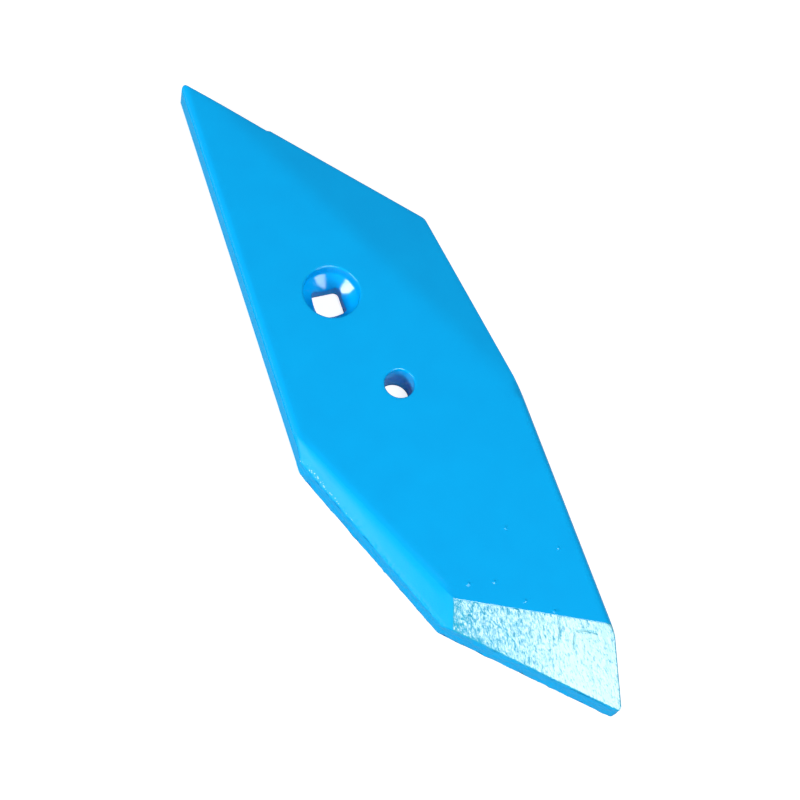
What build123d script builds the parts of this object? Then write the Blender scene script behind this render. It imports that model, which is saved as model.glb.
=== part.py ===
from build123d import *
import math
import os

# Plough share point, one forged piece of flat steel bar. The bolt hole's axis is the
# origin, the back face lies on Z = 0, and +Y runs along the bar towards the heel.

# Flat bar that the point is cut from
bar_width = 101.6
bar_thickness = 15.0
mill_edge_radius = 3.0

# Bolt hole: a round recess that sinks the bolt's head, its conical seat, a square neck
bolt_inset = 35.1
recess_diameter = 24.8
head_sink = 5.0
seat_angle = 90.0
neck_side = 13.2
neck_corner_radius = 2.4

# Locating hole, plain and round
locating_diameter = 13.0
locating_drop = 48.7
locating_shift = 15.1

# Rounding that the paint and the punch leave on the rims of both holes
rim_radius = 0.8

# Heel: a cut across the bar and a slighter one down to the mill edge
heel_reach = 119.7
heel_angle = 45.0
shoulder_reach = 66.6
shoulder_angle = 7.0

# Mark in the heel cut where the shears took their second bite
shear_mark_start = 45.2
shear_mark_length = 1.6
shear_mark_depth = 0.8
shear_mark_radius = 0.4

# Nose: two cuts on the landside, which make the cutting edge, and one opposite
landside_reach = 71.5
landside_angle = 23.2
edge_angle = 47.8
nose_reach = 171.7
nose_angle = 14.1
tip_reach = 205.4

# Corners of the outline, rounded by the shears and the hammer
heel_tip_radius = 1.2
shoulder_radius = 5.0
foot_radius = 40.0
landside_radius = 5.0
edge_corner_radius = 3.0
tip_radius = 1.5

# Forged taper over the shoulder, which runs out at a soft crease
taper_start = 17.5
taper_slope = 9.0
taper_crease_radius = 60.0

# Bevels over the cutting edge, from their creases on the front face down to the land. The
# two widths are square to the edge, where the creases meet.
land_drop = 5.1
side_bevel_width = 9.1
nose_bevel_width = 10.4
bevel_lead = 12.4
bevel_turn = 4.5
bevel_overrun = 6.0


def heading(angle):
    """Unit vector in plan, its angle counted from +Y towards +X."""
    return Vector(math.sin(math.radians(angle)), math.cos(math.radians(angle)))


def meet(start, start_angle, other, other_angle):
    """Point in plan where two lines cross, each given by a point and its heading."""
    along = heading(start_angle)
    across = heading(other_angle)
    gap = other - start
    share = (gap.X * across.Y - gap.Y * across.X) / (along.X * across.Y - along.Y * across.X)
    return start + along * share


# Places in plan that the cuts are laid out from
landside_x = -bolt_inset
far_side_x = landside_x + bar_width
bar_length = heel_reach + tip_reach

# Corners of the plan, from the heel tip round by the shoulder to the nose and back
heel_tip = Vector(landside_x, heel_reach)
shoulder_foot = Vector(far_side_x, -shoulder_reach)
shoulder = meet(heel_tip, 180 - heel_angle, shoulder_foot, -shoulder_angle)
nose_corner = Vector(far_side_x, -nose_reach)
nose_tip = nose_corner + heading(180 + nose_angle) * (
    (tip_reach - nose_reach) / math.cos(math.radians(nose_angle))
)
landside_corner = Vector(landside_x, -landside_reach)
edge_corner = meet(landside_corner, 180 - landside_angle, nose_tip, -edge_angle)

# Shear mark: the cut between it and the heel tip lies a little further in
heel_cut = heading(180 - heel_angle)
shear_mark_top = heel_tip + heel_cut * (shear_mark_start + shear_mark_length)
shear_mark_foot = (
    heel_tip + heel_cut * shear_mark_start + heading(270 - heel_angle) * shear_mark_depth
)

# Creases of the bevels on the front face, and where the two bevels meet on the edge
side_crease_start = landside_corner + Vector(0, bevel_lead)
crease_corner = meet(
    landside_corner + heading(90 - landside_angle) * side_bevel_width,
    180 - landside_angle,
    nose_tip + heading(90 - edge_angle) * nose_bevel_width,
    -edge_angle,
)
bevel_meeting = edge_corner + heading(180 - edge_angle) * bevel_turn

# Crease of the taper, from the heel cut down to the foot of the shoulder
taper_crease_start = heel_tip + heel_cut * taper_start
taper_crease = shoulder_foot - taper_crease_start


def past(start, end):
    """Point on the line from start to end, run on beyond the end by the overrun."""
    return end + (end - start).normalized() * bevel_overrun


def bevel_section(crease_point, land_point):
    """Upright triangle over the bevel, through a point of its crease and one of its land."""
    outward = land_point - crease_point
    reach = outward.length + bevel_overrun
    drop = land_drop * reach / outward.length
    section_plane = Plane(
        origin=(crease_point.X, crease_point.Y, bar_thickness),
        x_dir=outward,
        z_dir=outward.cross(Vector(0, 0, 1)),
    )
    with BuildSketch(section_plane) as section:
        Polygon((0, 0), (reach, -drop), (reach, bevel_overrun), align=None)
    return section.sketch


with BuildPart() as share_point:
    # Flat bar with the rounded edges that the rolling mill leaves
    with BuildSketch(Plane.XZ.offset(tip_reach)) as bar_section:
        with Locations((landside_x + bar_width / 2, bar_thickness / 2)):
            RectangleRounded(bar_width, bar_thickness, mill_edge_radius)
    extrude(amount=-bar_length)

    # Outline of the point, sheared straight through the bar
    with BuildSketch() as outline:
        with BuildLine():
            FilletPolyline(
                heel_tip,
                landside_corner,
                edge_corner,
                nose_tip,
                nose_corner,
                shoulder_foot,
                shoulder,
                shear_mark_top,
                shear_mark_foot,
                radius=(
                    heel_tip_radius,
                    landside_radius,
                    edge_corner_radius,
                    tip_radius,
                    foot_radius,
                    foot_radius,
                    shoulder_radius,
                    shear_mark_radius,
                    shear_mark_radius,
                ),
                close=True,
            )
        make_face()
    extrude(amount=bar_thickness, mode=Mode.INTERSECT)

    # Soft crease of the taper: flat front, an arc and the slope, drawn across the crease
    crease_plane = Plane(
        origin=(taper_crease_start.X, taper_crease_start.Y, bar_thickness),
        x_dir=taper_crease.cross(Vector(0, 0, -1)),
        z_dir=taper_crease,
    )
    bend_run = taper_crease_radius * math.tan(math.radians(taper_slope / 2))
    with BuildSketch(crease_plane) as taper_section:
        with BuildLine():
            front = Line((-bar_length, 0), (-bend_run, 0))
            bend = JernArc(front @ 1, front % 1, taper_crease_radius, -taper_slope)
            slope = Line(bend @ 1, bend @ 1 + (bend % 1) * bar_width)
            side = Line(slope @ 1, ((slope @ 1).X, -bar_width))
            under = Line(side @ 1, (-bar_length, -bar_width))
            Line(under @ 1, front @ 0)
        make_face()
    extrude(amount=bar_length, both=True, mode=Mode.INTERSECT)

    # Twisted bevels: the creases draw in to the corner while the land keeps its height
    bevel_sections = [
        bevel_section(
            past(crease_corner, side_crease_start),
            past(edge_corner, landside_corner),
        ),
        bevel_section(crease_corner, bevel_meeting),
        bevel_section(past(crease_corner, nose_corner), past(edge_corner, nose_tip)),
    ]
    loft(bevel_sections, ruled=True, mode=Mode.SUBTRACT)

    # Bolt hole: a recess and a cone for the head, and the neck that keeps it from turning
    with Locations((0, 0, bar_thickness)):
        Hole(radius=recess_diameter / 2, depth=head_sink)
    with Locations((0, 0, bar_thickness - head_sink)):
        CounterSinkHole(
            radius=neck_side / 2,
            counter_sink_radius=recess_diameter / 2,
            counter_sink_angle=seat_angle,
        )
    with BuildSketch() as neck:
        RectangleRounded(neck_side, neck_side, neck_corner_radius)
    extrude(amount=bar_thickness, mode=Mode.SUBTRACT)

    # Locating hole
    with Locations((locating_shift, -locating_drop, bar_thickness)):
        Hole(radius=locating_diameter / 2)

    # Rounded rims of both holes on the front face
    front_face = share_point.faces().filter_by(Axis.Z).group_by(Axis.Z)[-1].sort_by(SortBy.AREA)[-1]
    fillet([wire.edges() for wire in front_face.inner_wires()], rim_radius)

share_point.part.label = "share_point"

os.makedirs("parts", exist_ok=True)
export_step(share_point.part, "parts/share_point.step")
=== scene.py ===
import math

import bpy
import numpy as np
from mathutils import Matrix, Vector, noise
from mathutils.bvhtree import BVHTree
from mathutils.geometry import delaunay_2d_cdt


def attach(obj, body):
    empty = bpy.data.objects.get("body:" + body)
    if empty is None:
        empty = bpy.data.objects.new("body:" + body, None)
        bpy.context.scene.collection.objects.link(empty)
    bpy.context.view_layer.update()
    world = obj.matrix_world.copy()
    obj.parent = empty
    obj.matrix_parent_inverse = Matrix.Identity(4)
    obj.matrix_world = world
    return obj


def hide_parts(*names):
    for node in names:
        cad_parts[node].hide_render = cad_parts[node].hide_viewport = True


# Plough share point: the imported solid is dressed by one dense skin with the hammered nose
# bevel, the torn cutting edge, the paint's specks and the rounded arrises as real geometry.
# Sizes are in millimetres in the part's own frame, and become metres when the mesh is made.

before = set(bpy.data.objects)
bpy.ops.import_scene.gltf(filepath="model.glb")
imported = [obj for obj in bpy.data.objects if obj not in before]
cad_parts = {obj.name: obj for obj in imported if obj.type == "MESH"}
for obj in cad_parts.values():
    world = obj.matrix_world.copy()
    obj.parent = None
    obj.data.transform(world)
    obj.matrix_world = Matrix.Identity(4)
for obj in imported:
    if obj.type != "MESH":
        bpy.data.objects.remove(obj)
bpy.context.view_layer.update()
MM = 0.001

# Bar, heel and nose, as in the part's source
bar_width = 101.6
bar_thickness = 15.0
mill_edge_radius = 3.0
bolt_inset = 35.1
heel_reach = 119.7
heel_angle = 45.0
shoulder_reach = 66.6
shoulder_angle = 7.0
shear_mark_start = 45.2
shear_mark_length = 1.6
shear_mark_depth = 0.8
landside_reach = 71.5
landside_angle = 23.2
edge_angle = 47.8
nose_reach = 171.7
nose_angle = 14.1
tip_reach = 205.4
side_bevel_width = 9.1
nose_bevel_width = 10.4
bevel_lead = 12.4
bevel_turn = 4.5

# Holes, as in the part's source
recess_radius = 12.4
head_sink = 5.0
neck_side = 13.2
neck_corner_radius = 2.4
locating_radius = 6.5
locating_at = np.array((15.1, -48.7))
rim_radius = 0.8


def heading(angle):
    """Unit vector in plan, its angle counted from +Y towards +X."""
    return np.array((math.sin(math.radians(angle)), math.cos(math.radians(angle))))


def meet(start, start_angle, other, other_angle):
    """Point in plan where two lines cross, each given by a point and its heading."""
    along = heading(start_angle)
    across = heading(other_angle)
    gap = other - start
    share = (gap[0] * across[1] - gap[1] * across[0]) / (
        along[0] * across[1] - along[1] * across[0]
    )
    return start + along * share


# Corners of the plan
landside_x = -bolt_inset
far_side_x = landside_x + bar_width
heel_tip = np.array((landside_x, heel_reach))
shoulder_foot = np.array((far_side_x, -shoulder_reach))
shoulder = meet(heel_tip, 180 - heel_angle, shoulder_foot, -shoulder_angle)
nose_corner = np.array((far_side_x, -nose_reach))
nose_tip = nose_corner + heading(180 + nose_angle) * (
    (tip_reach - nose_reach) / math.cos(math.radians(nose_angle))
)
landside_corner = np.array((landside_x, -landside_reach))
edge_corner = meet(landside_corner, 180 - landside_angle, nose_tip, -edge_angle)
heel_cut = heading(180 - heel_angle)
shear_mark_top = heel_tip + heel_cut * (shear_mark_start + shear_mark_length)
shear_mark_foot = (
    heel_tip + heel_cut * shear_mark_start + heading(270 - heel_angle) * shear_mark_depth
)
side_crease_start = landside_corner + np.array((0.0, bevel_lead))
crease_corner = meet(
    landside_corner + heading(90 - landside_angle) * side_bevel_width,
    180 - landside_angle,
    nose_tip + heading(90 - edge_angle) * nose_bevel_width,
    -edge_angle,
)
bevel_meeting = edge_corner + heading(180 - edge_angle) * bevel_turn

# Outline, counter-clockwise: corner, its radius, and the step of the samples after it
fine_step = 0.36
plain_step = 0.8
outline_corners = (
    (heel_tip, 1.2, plain_step),
    (landside_corner, 5.0, fine_step),
    (edge_corner, 3.0, fine_step),
    (nose_tip, 1.5, plain_step),
    (nose_corner, 40.0, plain_step),
    (shoulder_foot, 40.0, plain_step),
    (shoulder, 5.0, plain_step),
    (shear_mark_top, 0.4, plain_step),
    (shear_mark_foot, 0.4, plain_step),
)


def unit(v):
    return v / np.linalg.norm(v)


def between(start, end, step):
    """Samples from start up to, but without, end."""
    count = max(1, int(round(np.linalg.norm(end - start) / step)))
    return [start + (end - start) * k / count for k in range(count)]


def rounded_outline(corners):
    """Samples of the outline with its corners rounded."""
    arcs = []
    for k, (corner, radius, step) in enumerate(corners):
        before = unit(corners[k - 1][0] - corner)
        after = unit(corners[(k + 1) % len(corners)][0] - corner)
        half = math.acos(np.clip(before @ after, -1, 1)) / 2
        centre = corner + unit(before + after) * radius / math.sin(half)
        first = corner + before * radius / math.tan(half)
        last = corner + after * radius / math.tan(half)
        turn = math.pi - 2 * half
        count = max(3, int(radius * turn / 0.45))
        bend = [first]
        for j in range(1, count):
            share = math.sin(turn * j / count) / math.sin(turn)
            rest = math.sin(turn * (1 - j / count)) / math.sin(turn)
            bend.append(centre + (first - centre) * rest + (last - centre) * share)
        bend.append(last)
        arcs.append((bend, step))
    samples = []
    for k, (bend, step) in enumerate(arcs):
        samples += bend[:-1]
        samples += between(bend[-1], arcs[(k + 1) % len(arcs)][0][0], step)
    return np.array(samples)


def inside(points, ring):
    """Which points lie inside a closed ring."""
    x, y = points[:, 0], points[:, 1]
    hits = np.zeros(len(points), bool)
    for (x0, y0), (x1, y1) in zip(ring, np.roll(ring, -1, axis=0)):
        if y0 == y1:
            continue
        spans = (y0 > y) != (y1 > y)
        hits ^= spans & (x < (x1 - x0) * (y - y0) / (y1 - y0) + x0)
    return hits


def distance(points, a, b):
    """Distance of points from the stretch a to b."""
    along = b - a
    share = np.clip(((points - a) @ along) / (along @ along), 0, 1)
    return np.linalg.norm(points - a - share[:, None] * along, axis=1)


def ring_distance(points, ring):
    """Distance of points from a closed ring."""
    best = np.full(len(points), 1e9)
    for a, b in zip(ring, np.roll(ring, -1, axis=0)):
        best = np.minimum(best, distance(points, a, b))
    return best


def ramp(value, low, high):
    """Smooth step from 0 at low to 1 at high."""
    t = np.clip((value - low) / (high - low), 0, 1)
    return t * t * (3 - 2 * t)


def hex_grid(low, high, step):
    """Points of a triangular grid over a box."""
    rows = []
    for j, y in enumerate(np.arange(low[1], high[1], step * math.sqrt(0.75))):
        xs = np.arange(low[0] + (j % 2) * step / 2, high[0], step)
        rows.append(np.column_stack((xs, np.full(len(xs), y))))
    return np.concatenate(rows)


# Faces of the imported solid, to take the front's height from
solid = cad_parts["share_point"]
solid_tree = BVHTree.FromObject(solid, bpy.context.evaluated_depsgraph_get())


def front_height(x, y):
    """Height of the solid's front at a place in plan."""
    hit = solid_tree.ray_cast(Vector((x * MM, y * MM, 1.0)), Vector((0, 0, -1)))
    if hit[0] is None or hit[0].z < 2 * MM:
        hit = solid_tree.find_nearest(Vector((x * MM, y * MM, bar_thickness * MM)))
    return hit[0].z / MM


outline = rounded_outline(outline_corners)
outline_centre = outline.mean(axis=0)
before = np.roll(outline, 1, axis=0)
after = np.roll(outline, -1, axis=0)
tangent = after - before
tangent /= np.linalg.norm(tangent, axis=1)[:, None]
outline_out = np.column_stack((tangent[:, 1], -tangent[:, 0]))

# Columns round each hole
bolt_columns = 160
locating_columns = 96
arris_radius = 0.5
arris_rings = (0.04, 0.15, 0.31, 0.5)
mill_rings = tuple(mill_edge_radius * (1 - math.cos(math.radians(a))) for a in (15, 30, 45, 60, 75, 90))


def circle(centre, radius, count):
    turns = np.arange(count) * 2 * math.pi / count
    return centre + radius * np.column_stack((np.cos(turns), np.sin(turns)))


def neck_reach(turn):
    """Distance from the bolt hole's axis to the rounded square neck."""
    half = neck_side / 2
    c, s = abs(math.cos(turn)), abs(math.sin(turn))
    flat = half / max(c, s)
    core = half - neck_corner_radius
    along = core * (c + s)
    inside_root = along * along - 2 * core * core + neck_corner_radius**2
    if min(c, s) * flat > core and inside_root > 0:
        return min(flat, along + math.sqrt(inside_root))
    return flat


class Skin:
    """Collects welded points and faces."""

    def __init__(self):
        self.points = []
        self.faces = []
        self.index = {}

    def add(self, p):
        key = (round(p[0] * 2000), round(p[1] * 2000), round(p[2] * 2000))
        if key not in self.index:
            self.index[key] = len(self.points)
            self.points.append(tuple(p))
        return self.index[key]

    def face(self, *corners):
        ids = list(dict.fromkeys(corners))
        if len(ids) > 2:
            self.faces.append(ids)

    def strip(self, rows):
        """Closed bands between rows of equally many points."""
        for upper, lower in zip(rows, rows[1:]):
            for k in range(len(upper)):
                j = (k + 1) % len(upper)
                self.face(upper[k], lower[k], lower[j], upper[j])


skin = Skin()


def on_mill_edge(points):
    """1 on the two mill edges, 0 on the sheared ones."""
    near = np.minimum(points[:, 0] - landside_x, far_side_x - points[:, 0])
    return 1 - ramp(near, 0.005, 0.05)


def mill_drop(points):
    """Drop of the mill edges' rounding below a face."""
    near = np.minimum(points[:, 0] - landside_x, far_side_x - points[:, 0])
    short = mill_edge_radius - np.clip(near, 0, mill_edge_radius)
    return mill_edge_radius - np.sqrt(mill_edge_radius**2 - short**2)


mill_weight = on_mill_edge(outline)


def arris_drop(points):
    """Drop of the small rounding along the sheared edges."""
    edge = ring_distance(points, outline[mill_weight < 0.5])
    short = arris_radius - np.clip(edge, 0, arris_radius)
    return arris_radius - np.sqrt(arris_radius**2 - short**2)


# Points over the front, close together where the surface is rough
front_low = outline.min(axis=0)
front_high = outline.max(axis=0)
bolt_rim = circle(np.zeros(2), recess_radius + rim_radius, bolt_columns)
locating_rim = circle(locating_at, locating_radius + rim_radius, locating_columns)

edge_side = (landside_corner, edge_corner)
edge_nose = (edge_corner, nose_tip)
nose_facet = np.array((crease_corner, bevel_meeting, nose_tip, nose_corner))
side_facet = np.array((side_crease_start, landside_corner, edge_corner, bevel_meeting, crease_corner))


def near_facet(points, ring, reach):
    return inside(points, ring) | (ring_distance(points, ring) < reach)


facet_grid = hex_grid(nose_facet.min(axis=0) - 1, nose_facet.max(axis=0) + 1, 0.29)
facet_grid = facet_grid[near_facet(facet_grid, nose_facet, 0.5)]
side_grid = hex_grid(side_facet.min(axis=0) - 3, side_facet.max(axis=0) + 3, 0.6)
side_grid = side_grid[near_facet(side_grid, side_facet, 3.0) & ~near_facet(side_grid, nose_facet, 0.9)]
front_grid = hex_grid(front_low, front_high, 2.0)
front_grid = front_grid[~near_facet(front_grid, nose_facet, 1.5) & ~near_facet(front_grid, side_facet, 3.8)]

# Rows along the mill edges, across their rounding
mill_rows = []
for reach in mill_rings:
    ys = outline[mill_weight > 0.5]
    mill_rows.append(np.column_stack((np.where(ys[:, 0] < 0, ys[:, 0] + reach, ys[:, 0] - reach), ys[:, 1])))
arris_rows = [outline[mill_weight < 0.5] - outline_out[mill_weight < 0.5] * r for r in arris_rings]
border_rows = np.concatenate(mill_rows + arris_rows)

# Paint specks on the front, in plan, with their radius and height
specks = (
    (14.0, -140.0, 0.80, 0.35),
    (24.7, -142.0, 0.70, 0.30),
    (37.1, -121.4, 0.60, 0.25),
    (55.8, -135.2, 0.60, 0.25),
    (34.3, -152.8, 0.70, 0.30),
    (44.4, -159.9, 0.75, 0.35),
)
speck_points = [circle(np.array(s[:2]), s[2] * k, 10) for s in specks for k in (0.25, 0.6, 1.0)]
speck_points = np.concatenate(speck_points + [np.array([s[:2] for s in specks])])


def keep_inside(points, margin):
    """Points inside the outline and clear of its edge and of the holes."""
    points = points[inside(points, outline)]
    points = points[ring_distance(points, outline) > margin]
    points = points[np.linalg.norm(points, axis=1) > recess_radius + rim_radius + 0.3]
    return points[np.linalg.norm(points - locating_at, axis=1) > locating_radius + rim_radius + 0.3]


smooth_far = np.minimum(front_grid[:, 0] - landside_x, far_side_x - front_grid[:, 0]) > mill_edge_radius + 0.6
front_grid = front_grid[smooth_far]
fine_far = np.minimum(side_grid[:, 0] - landside_x, far_side_x - side_grid[:, 0]) > mill_edge_radius
side_grid = side_grid[fine_far]
inner = np.concatenate(
    (
        keep_inside(front_grid, 1.2),
        keep_inside(side_grid, 0.7),
        keep_inside(facet_grid, 0.6),
        keep_inside(border_rows, 0.03),
        keep_inside(speck_points, 0.5),
        keep_inside(circle(np.zeros(2), recess_radius + rim_radius + 1.0, bolt_columns), 1.0),
        keep_inside(circle(locating_at, locating_radius + rim_radius + 1.0, locating_columns), 1.0),
    )
)


def triangulate(rings, points, creases=()):
    """Triangles between the first ring and the others, through all points."""
    plan = []
    edges = []
    for ring in rings:
        start = len(plan)
        plan += [tuple(p) for p in ring]
        edges += [(start + k, start + (k + 1) % len(ring)) for k in range(len(ring))]
    for a, b, step in creases:
        line = between(a, b, step) + [b]
        start = len(plan)
        plan += [tuple(p) for p in line]
        edges += [(start + k, start + k + 1) for k in range(len(line) - 1)]
    plan += [tuple(p) for p in points]
    made = delaunay_2d_cdt([Vector(p) for p in plan], edges, [], 0, 1e-5)
    vertices = np.array([plan[came[0]] if came else tuple(v) for v, came in zip(made[0], made[3])])
    faces = np.array(made[2])
    middles = vertices[faces].mean(axis=1)
    keep = inside(middles, rings[0])
    for hole in rings[1:]:
        keep &= ~inside(middles, hole)
    return vertices, faces[keep]


crease_lines = (
    (side_crease_start + np.array((0.3, 0.0)), crease_corner, 0.7),
    (crease_corner, nose_corner - unit(nose_corner - crease_corner) * 2.0, 0.29),
    (crease_corner, bevel_meeting - unit(bevel_meeting - crease_corner) * 0.4, 0.29),
)
front_plan, front_faces = triangulate((outline, bolt_rim, locating_rim), inner, crease_lines)

heights = np.array([front_height(x, y) for x, y in front_plan - 0.0])
edge_gap = ring_distance(front_plan, outline)
at_edge = edge_gap < 0.02
for k in np.nonzero(at_edge)[0]:
    inward = unit(outline_centre - front_plan[k]) * 0.05
    near = np.argmin(np.linalg.norm(outline - front_plan[k], axis=1))
    inward = -outline_out[near] * 0.03
    heights[k] = front_height(*(front_plan[k] + inward))

# Soft crease of the side bevel, which the hammer left round
soft_crease = 3.0
soft_slope = 0.75
crease_gap = np.clip(distance(front_plan, side_crease_start, crease_corner), 0, soft_crease)
crease_ends = ramp(np.linalg.norm(front_plan - crease_corner, axis=1), 0.0, 9.0)
crease_ends *= ramp(front_plan[:, 0] - landside_x, 0.0, 6.0)
heights -= crease_ends * soft_slope * (soft_crease - crease_gap) ** 2 / (4 * soft_crease)
for x, y, radius, height in specks:
    speck_gap = np.linalg.norm(front_plan - (x, y), axis=1) / radius
    heights += height * (1 - ramp(speck_gap, 0.0, 1.0))
heights = np.minimum(heights, bar_thickness + 0.5 - mill_drop(front_plan))
heights -= arris_drop(front_plan) * (1 - on_mill_edge(front_plan))
hole_gap = np.minimum(
    abs(np.linalg.norm(front_plan, axis=1) - recess_radius - rim_radius),
    abs(np.linalg.norm(front_plan - locating_at, axis=1) - locating_radius - rim_radius),
)
heights[hole_gap < 0.02] = bar_thickness

front_ids = [skin.add((x, y, z)) for (x, y), z in zip(front_plan, heights)]
for a, b, c in front_faces:
    skin.face(front_ids[a], front_ids[b], front_ids[c])

# Back face, flat, with the mill edges' rounding
bolt_foot = np.array(
    [
        (neck_reach(t) * math.cos(t), neck_reach(t) * math.sin(t))
        for t in np.arange(bolt_columns) * 2 * math.pi / bolt_columns
    ]
)
locating_foot = circle(locating_at, locating_radius, locating_columns)
back_grid = hex_grid(front_low, front_high, 5.0)
far = np.minimum(back_grid[:, 0] - landside_x, far_side_x - back_grid[:, 0]) > mill_edge_radius + 1.5
back_inner = np.concatenate((keep_inside(back_grid[far], 2.0), keep_inside(np.concatenate(mill_rows), 0.03)))
back_plan, back_faces = triangulate((outline, bolt_foot, locating_foot), back_inner)
back_ids = [skin.add((x, y, z)) for (x, y), z in zip(back_plan, mill_drop(back_plan))]
for a, b, c in back_faces:
    skin.face(back_ids[c], back_ids[b], back_ids[a])

# Walls round the outline
wall_rows = 24
by_plan = {(round(x * 1000), round(y * 1000)): z for (x, y), z in zip(front_plan, heights)}
wall_top = np.array([by_plan[(round(x * 1000), round(y * 1000))] for x, y in outline])
wall_foot = mill_drop(outline)
rows = []
for k in range(wall_rows + 1):
    share = k / wall_rows
    z = wall_top + (wall_foot - wall_top) * share
    rows.append([skin.add((x, y, h)) for (x, y), h in zip(outline, z)])
skin.strip(rows)

# Bolt hole: rounded rim, straight recess, conical seat and square neck
turns = np.arange(bolt_columns) * 2 * math.pi / bolt_columns
reaches = np.array([neck_reach(t) for t in turns])
seat_top = bar_thickness - head_sink
profile = []
for angle in (0, 18, 36, 54, 72, 90):
    a = math.radians(angle)
    profile.append((recess_radius + rim_radius * (1 - math.sin(a)), bar_thickness - rim_radius * (1 - math.cos(a))))
profile += [(recess_radius, bar_thickness - rim_radius - k * (head_sink - rim_radius) / 6) for k in range(1, 7)]
rows = []
for reach, z in profile:
    rows.append([skin.add((reach * math.cos(t), reach * math.sin(t), z)) for t in turns])
for k in range(1, 13):
    share = k / 12
    ring = []
    for t, r in zip(turns, reaches):
        reach = recess_radius + (r - recess_radius) * share
        ring.append(skin.add((reach * math.cos(t), reach * math.sin(t), seat_top - recess_radius + reach)))
    rows.append(ring)
for k in range(1, 9):
    share = k / 8
    ring = []
    for t, r in zip(turns, reaches):
        z = (seat_top - recess_radius + r) * (1 - share)
        ring.append(skin.add((r * math.cos(t), r * math.sin(t), z)))
    rows.append(ring)
skin.strip([row[::-1] for row in rows])

# Locating hole: rounded rim and straight wall
turns = np.arange(locating_columns) * 2 * math.pi / locating_columns
profile = []
for angle in (0, 18, 36, 54, 72, 90):
    a = math.radians(angle)
    profile.append((locating_radius + rim_radius * (1 - math.sin(a)), bar_thickness - rim_radius * (1 - math.cos(a))))
profile += [(locating_radius, (bar_thickness - rim_radius) * (1 - k / 12)) for k in range(1, 13)]
rows = []
for reach, z in profile:
    rows.append(
        [
            skin.add((locating_at[0] + reach * math.cos(t), locating_at[1] + reach * math.sin(t), z))
            for t in turns
        ]
    )
skin.strip([row[::-1] for row in rows])

print("skin", len(skin.points), "points", len(skin.faces), "faces")

mesh = bpy.data.meshes.new("painted_skin")
mesh.from_pydata([tuple(c * MM for c in p) for p in skin.points], [], skin.faces)
mesh.update()
mesh.validate()
for polygon in mesh.polygons:
    polygon.use_smooth = True
skin_object = bpy.data.objects.new("painted_skin", mesh)
bpy.context.scene.collection.objects.link(skin_object)


def fbm(p, scale, octaves=4):
    return noise.fractal(Vector(p) / scale, 1.0, 2.0, octaves, noise_basis="PERLIN_ORIGINAL")


# Relief of the rough places, along the surface's own direction
points = np.array(skin.points)
normals = np.array([tuple(v.normal) for v in mesh.vertices])
plan = points[:, :2]
on_front = ramp(normals[:, 2], 0.55, 0.8)
on_wall = 1 - ramp(abs(normals[:, 2]), 0.25, 0.7)
in_nose = np.where(inside(plan, nose_facet), 1.0, 0.0)
nose_border = ring_distance(plan, nose_facet)
hammered = in_nose * ramp(nose_border, 0.0, 0.6) * on_front
edge_gap = np.minimum(distance(plan, *edge_side), distance(plan, *edge_nose))
torn = (1 - ramp(edge_gap, 1.0, 4.0)) * on_wall

# Hammered nose: dashes along Y that die down towards the far side, a pit and two cracks
along_crease = unit(nose_corner - crease_corner)
nose_share = np.clip((plan - crease_corner) @ along_crease / np.linalg.norm(nose_corner - crease_corner), 0, 1)
nose_strength = 1.25 - 0.85 * ramp(nose_share, 0.5, 0.85)
nose_pit = (11.1, -151.7, 1.3, 0.55)
nose_cracks = (
    ((51.0, -170.3), (54.3, -170.8), (58.3, -173.2)),
    ((49.4, -171.6), (48.2, -173.8), (47.6, -176.2)),
    ((45.0, -162.7), (44.6, -167.3), (42.4, -171.8)),
)
crack_width = 0.45
crack_depth = 0.22

relief = np.zeros(len(points))
for k in np.nonzero(hammered > 0)[0]:
    x, y, z = points[k]
    dashes = fbm((x, y * 0.36, 3.0), 0.85, 3)
    lumps = fbm((x, y * 0.6, 7.0), 3.4, 2)
    relief[k] += hammered[k] * nose_strength[k] * (0.085 * dashes + 0.13 * lumps)
pit_gap = np.linalg.norm(plan - nose_pit[:2], axis=1) / nose_pit[2]
relief -= hammered * nose_pit[3] * (1 - ramp(pit_gap, 0.0, 1.0))
for crack in nose_cracks:
    for a, b in zip(crack, crack[1:]):
        gap = distance(plan, np.array(a), np.array(b)) / crack_width
        relief = np.minimum(relief, np.where(gap < 1, relief - hammered * crack_depth * (1 - gap), relief))

# Torn cutting edge: lumps on the wall, and a chipped arris along the landside stretch
side_share = np.clip((plan - landside_corner) @ unit(edge_corner - landside_corner), 0, None)
side_share /= np.linalg.norm(edge_corner - landside_corner)
side_gap = distance(plan, *edge_side)
in_side = np.where(inside(plan, side_facet), 1.0, 0.0) * on_front
chip_reach = 3.4 - 2.0 * ramp(side_share, 0.25, 0.9)
chipped = in_side * (1 - ramp(side_gap, 0.5, chip_reach))
for k in np.nonzero(torn + chipped > 0)[0]:
    p = points[k]
    low = 1 - p[2] / 9.0
    relief[k] += torn[k] * (0.35 * fbm(p, 4.0, 4) + 0.25 * max(0.0, low) * fbm((p[0], p[1], 9.0), 2.2, 3))
    relief[k] += chipped[k] * (0.22 * fbm(p, 1.6, 3) - 0.08)
moved = points + normals * relief[:, None]
mesh.vertices.foreach_set("co", (moved * MM).ravel())
mesh.update()
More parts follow.
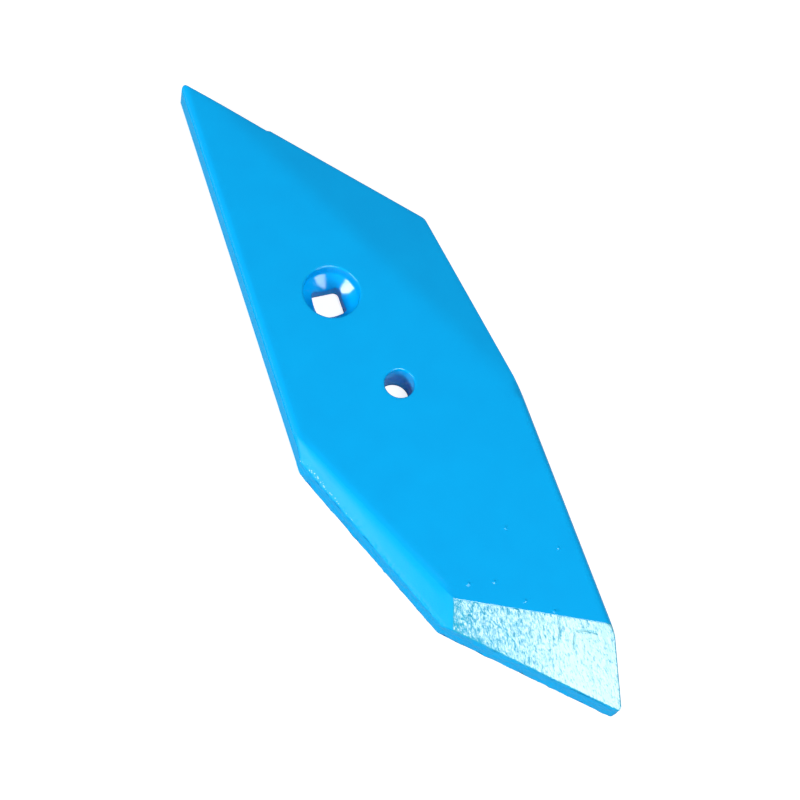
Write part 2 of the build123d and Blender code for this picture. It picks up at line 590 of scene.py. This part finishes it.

# How densely the pale flecks lie, painted highlights that stand in for the lamps' glints on the rough paint: on the
# nose, and along the torn arris
painted_highlight_density = np.zeros(len(points))
painted_highlight_density = np.maximum(painted_highlight_density, in_nose * on_front * ramp(nose_border, 0.0, 0.5) * (0.47 + 0.13 * ramp(nose_share, 0.3, 0.8)))
arris_painted_highlight_density = 0.66 - 0.28 * ramp(side_share, 0.15, 0.5) - 0.14 * ramp(side_share, 0.5, 1.0)
arris_band = 1 - ramp(side_gap, 0.4, 0.6 + 2.6 * (1 - ramp(side_share, 0.1, 0.45)))
painted_highlight_density = np.maximum(painted_highlight_density, in_side * arris_band * arris_painted_highlight_density)
painted_highlight_density_layer = mesh.attributes.new("painted_highlight_density", "FLOAT", "POINT")
painted_highlight_density_layer.data.foreach_set("value", painted_highlight_density)

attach(skin_object, "root")
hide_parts("share_point")


def material(name):
    made = bpy.data.materials.new(name)
    made.use_nodes = True
    nodes = made.node_tree.nodes
    return made, nodes, made.node_tree.links, nodes["Principled BSDF"]


def painted(name, level, roughness, blues, pale, grain, lumps):
    """Blue gloss paint, with pale flecks painted in as highlights where the painted-highlight density and the grain are
    high.
    """
    made, nodes, links, shader = material(name)
    shader.inputs["IOR"].default_value = 1.5
    shader.inputs["Specular IOR Level"].default_value = level
    place = nodes.new("ShaderNodeTexCoord")
    mottle = nodes.new("ShaderNodeTexNoise")
    mottle.inputs["Scale"].default_value = 60
    mottle.inputs["Detail"].default_value = 3
    tint = nodes.new("ShaderNodeValToRGB")
    tint.color_ramp.elements[0].color = blues[0]
    tint.color_ramp.elements[1].color = blues[1]
    links.new(place.outputs["Object"], mottle.inputs["Vector"])
    links.new(mottle.outputs["Fac"], tint.inputs["Fac"])
    stretch = nodes.new("ShaderNodeMapping")
    stretch.inputs["Scale"].default_value = grain
    links.new(place.outputs["Object"], stretch.inputs["Vector"])
    speckle = nodes.new("ShaderNodeTexNoise")
    speckle.inputs["Scale"].default_value = 1
    speckle.inputs["Detail"].default_value = 3
    links.new(stretch.outputs["Vector"], speckle.inputs["Vector"])
    density = nodes.new("ShaderNodeAttribute")
    density.attribute_name = "painted_highlight_density"
    over = nodes.new("ShaderNodeMath")
    over.operation = "ADD"
    links.new(speckle.outputs["Fac"], over.inputs[0])
    links.new(density.outputs["Fac"], over.inputs[1])
    # Where the grain and the painted-highlight density add up high, the base colour turns pale: painted highlights of
    # the rough paint
    painted_highlight_share = nodes.new("ShaderNodeMapRange")
    painted_highlight_share.inputs["From Min"].default_value = 0.93
    painted_highlight_share.inputs["From Max"].default_value = 1.10
    links.new(over.outputs[0], painted_highlight_share.inputs["Value"])
    blend = nodes.new("ShaderNodeMix")
    blend.data_type = "RGBA"
    links.new(painted_highlight_share.outputs["Result"], blend.inputs["Factor"])
    links.new(tint.outputs["Color"], blend.inputs["A"])
    blend.inputs["B"].default_value = pale
    links.new(blend.outputs["Result"], shader.inputs["Base Color"])
    shader.inputs["Roughness"].default_value = roughness
    peel = nodes.new("ShaderNodeTexNoise")
    peel.inputs["Scale"].default_value = 500
    links.new(place.outputs["Object"], peel.inputs["Vector"])
    relief = nodes.new("ShaderNodeMath")
    relief.operation = "MULTIPLY_ADD"
    relief.inputs[1].default_value = lumps
    links.new(speckle.outputs["Fac"], relief.inputs[0])
    links.new(peel.outputs["Fac"], relief.inputs[2])
    bump = nodes.new("ShaderNodeBump")
    bump.inputs["Strength"].default_value = 0.05
    bump.inputs["Distance"].default_value = 0.0002
    links.new(relief.outputs[0], bump.inputs["Height"])
    links.new(bump.outputs["Normal"], shader.inputs["Normal"])
    return made


front_blues = ((0.0, 0.40, 0.88, 1), (0.0, 0.45, 0.95, 1))
nose_blues = ((0.01, 0.36, 0.58, 1), (0.02, 0.44, 0.68, 1))
edge_blues = ((0.0, 0.40, 0.86, 1), (0.0, 0.47, 0.93, 1))
# Pale colours painted in as highlights on the nose and along the torn arris
painted_highlight_blue = (0.34, 0.74, 0.84, 1)
edge_painted_highlight_blue = (0.42, 0.80, 0.90, 1)
mesh.materials.append(painted("blue_paint", 0.5, 0.12, front_blues, painted_highlight_blue, (900, 900, 900), 0.0))
mesh.materials.append(painted("hammered_paint", 0.9, 0.22, nose_blues, painted_highlight_blue, (1400, 520, 1400), 12.0))
mesh.materials.append(painted("edge_paint", 0.12, 0.38, edge_blues, edge_painted_highlight_blue, (1100, 1100, 1100), 6.0))
middles = np.array([tuple(f.center) for f in mesh.polygons])[:, :2] / MM
facings = np.array([tuple(f.normal) for f in mesh.polygons])[:, 2]
holes_clear = (np.linalg.norm(middles, axis=1) > recess_radius + 2) & (
    np.linalg.norm(middles - locating_at, axis=1) > locating_radius + 2
)
slots = np.where(inside(middles, nose_facet) & (facings > 0.5), 1, 0)
walls = (abs(facings) < 0.35) & holes_clear
slots[(walls | (inside(middles, side_facet) & (facings > 0.3))) & (slots == 0)] = 2
mesh.polygons.foreach_set("material_index", slots.astype(np.int32))

# Floor: it keeps the object's shadow, and is white to the camera where light reaches it
floor_mesh = bpy.data.meshes.new("floor")
floor_mesh.from_pydata([(-4, -4, -0.0001), (4, -4, -0.0001), (4, 4, -0.0001), (-4, 4, -0.0001)], [], [(0, 1, 2, 3)])
floor = bpy.data.objects.new("floor", floor_mesh)
bpy.context.scene.collection.objects.link(floor)
pale, nodes, links, shader = material("pale_floor")
shader.inputs["Base Color"].default_value = (0.45, 0.45, 0.45, 1)
shader.inputs["Roughness"].default_value = 1.0
shader.inputs["Specular IOR Level"].default_value = 0.0
rays = nodes.new("ShaderNodeLightPath")
glow = nodes.new("ShaderNodeMath")
glow.operation = "MULTIPLY"
glow.inputs[1].default_value = 0.78
links.new(rays.outputs["Is Camera Ray"], glow.inputs[0])
shader.inputs["Emission Color"].default_value = (1, 1, 1, 1)
links.new(glow.outputs[0], shader.inputs["Emission Strength"])
floor_mesh.materials.append(pale)

# World: white to the camera, a plain dim room to everything else
world = bpy.data.worlds.new("studio")
bpy.context.scene.world = world
world.use_nodes = True
nodes = world.node_tree.nodes
links = world.node_tree.links
room = nodes["Background"]
room.inputs["Color"].default_value = (0.1, 0.1, 0.1, 1)
white = nodes.new("ShaderNodeBackground")
white.inputs["Color"].default_value = (1, 1, 1, 1)
rays = nodes.new("ShaderNodeLightPath")
mix = nodes.new("ShaderNodeMixShader")
links.new(rays.outputs["Is Camera Ray"], mix.inputs["Fac"])
links.new(room.outputs[0], mix.inputs[1])
links.new(white.outputs[0], mix.inputs[2])
links.new(mix.outputs[0], nodes["World Output"].inputs["Surface"])


def softbox(name, azimuth, elevation, turn, reach, size, watts):
    """Rectangular lamp that faces the part, its size and its distance in metres."""
    data = bpy.data.lights.new(name, "AREA")
    data.shape = "RECTANGLE"
    data.size, data.size_y = size
    data.energy = watts
    lamp = bpy.data.objects.new(name, data)
    a, e = math.radians(azimuth), math.radians(elevation)
    way = Vector((math.cos(e) * math.cos(a), math.cos(e) * math.sin(a), math.sin(e)))
    lamp.location = way * reach
    lamp.rotation_mode = "QUATERNION"
    twist = Matrix.Rotation(math.radians(turn), 3, "Z").to_quaternion()
    lamp.rotation_quaternion = way.to_track_quat("Z", "Y") @ twist
    bpy.context.scene.collection.objects.link(lamp)


softbox("lamp_landside", -173, 25, 0, 1.3, (0.90, 0.24), 14.3)
softbox("lamp_tip", -66, 25, 0, 1.3, (0.80, 0.24), 5.5)
softbox("lamp_overhead", -75, 73, 33, 1.4, (0.85, 0.42), 9)

# Camera at the photograph's place, found from the holes, the edges and the bar
camera_right = Vector((0.9325, -0.3121, 0.1818))
camera_up = Vector((0.2101, 0.8781, 0.4299))
camera_back = Vector((-0.2938, -0.3626, 0.8844))
camera_place = Vector((-0.1721, -0.2847, 0.5717))
half_pixel = 0.000215
camera_data = bpy.data.cameras.new("camera")
camera_data.sensor_width = 36
camera_data.lens = 67.5
camera_data.clip_start = 0.01
camera = bpy.data.objects.new("camera", camera_data)
bpy.context.scene.collection.objects.link(camera)
turn = Matrix((camera_right, camera_up, camera_back)).transposed()
camera.matrix_world = Matrix.Translation(
    camera_place - camera_right * half_pixel + camera_up * half_pixel
) @ turn.to_4x4()
bpy.context.scene.camera = camera
bpy.context.scene.view_settings.view_transform = "Standard"
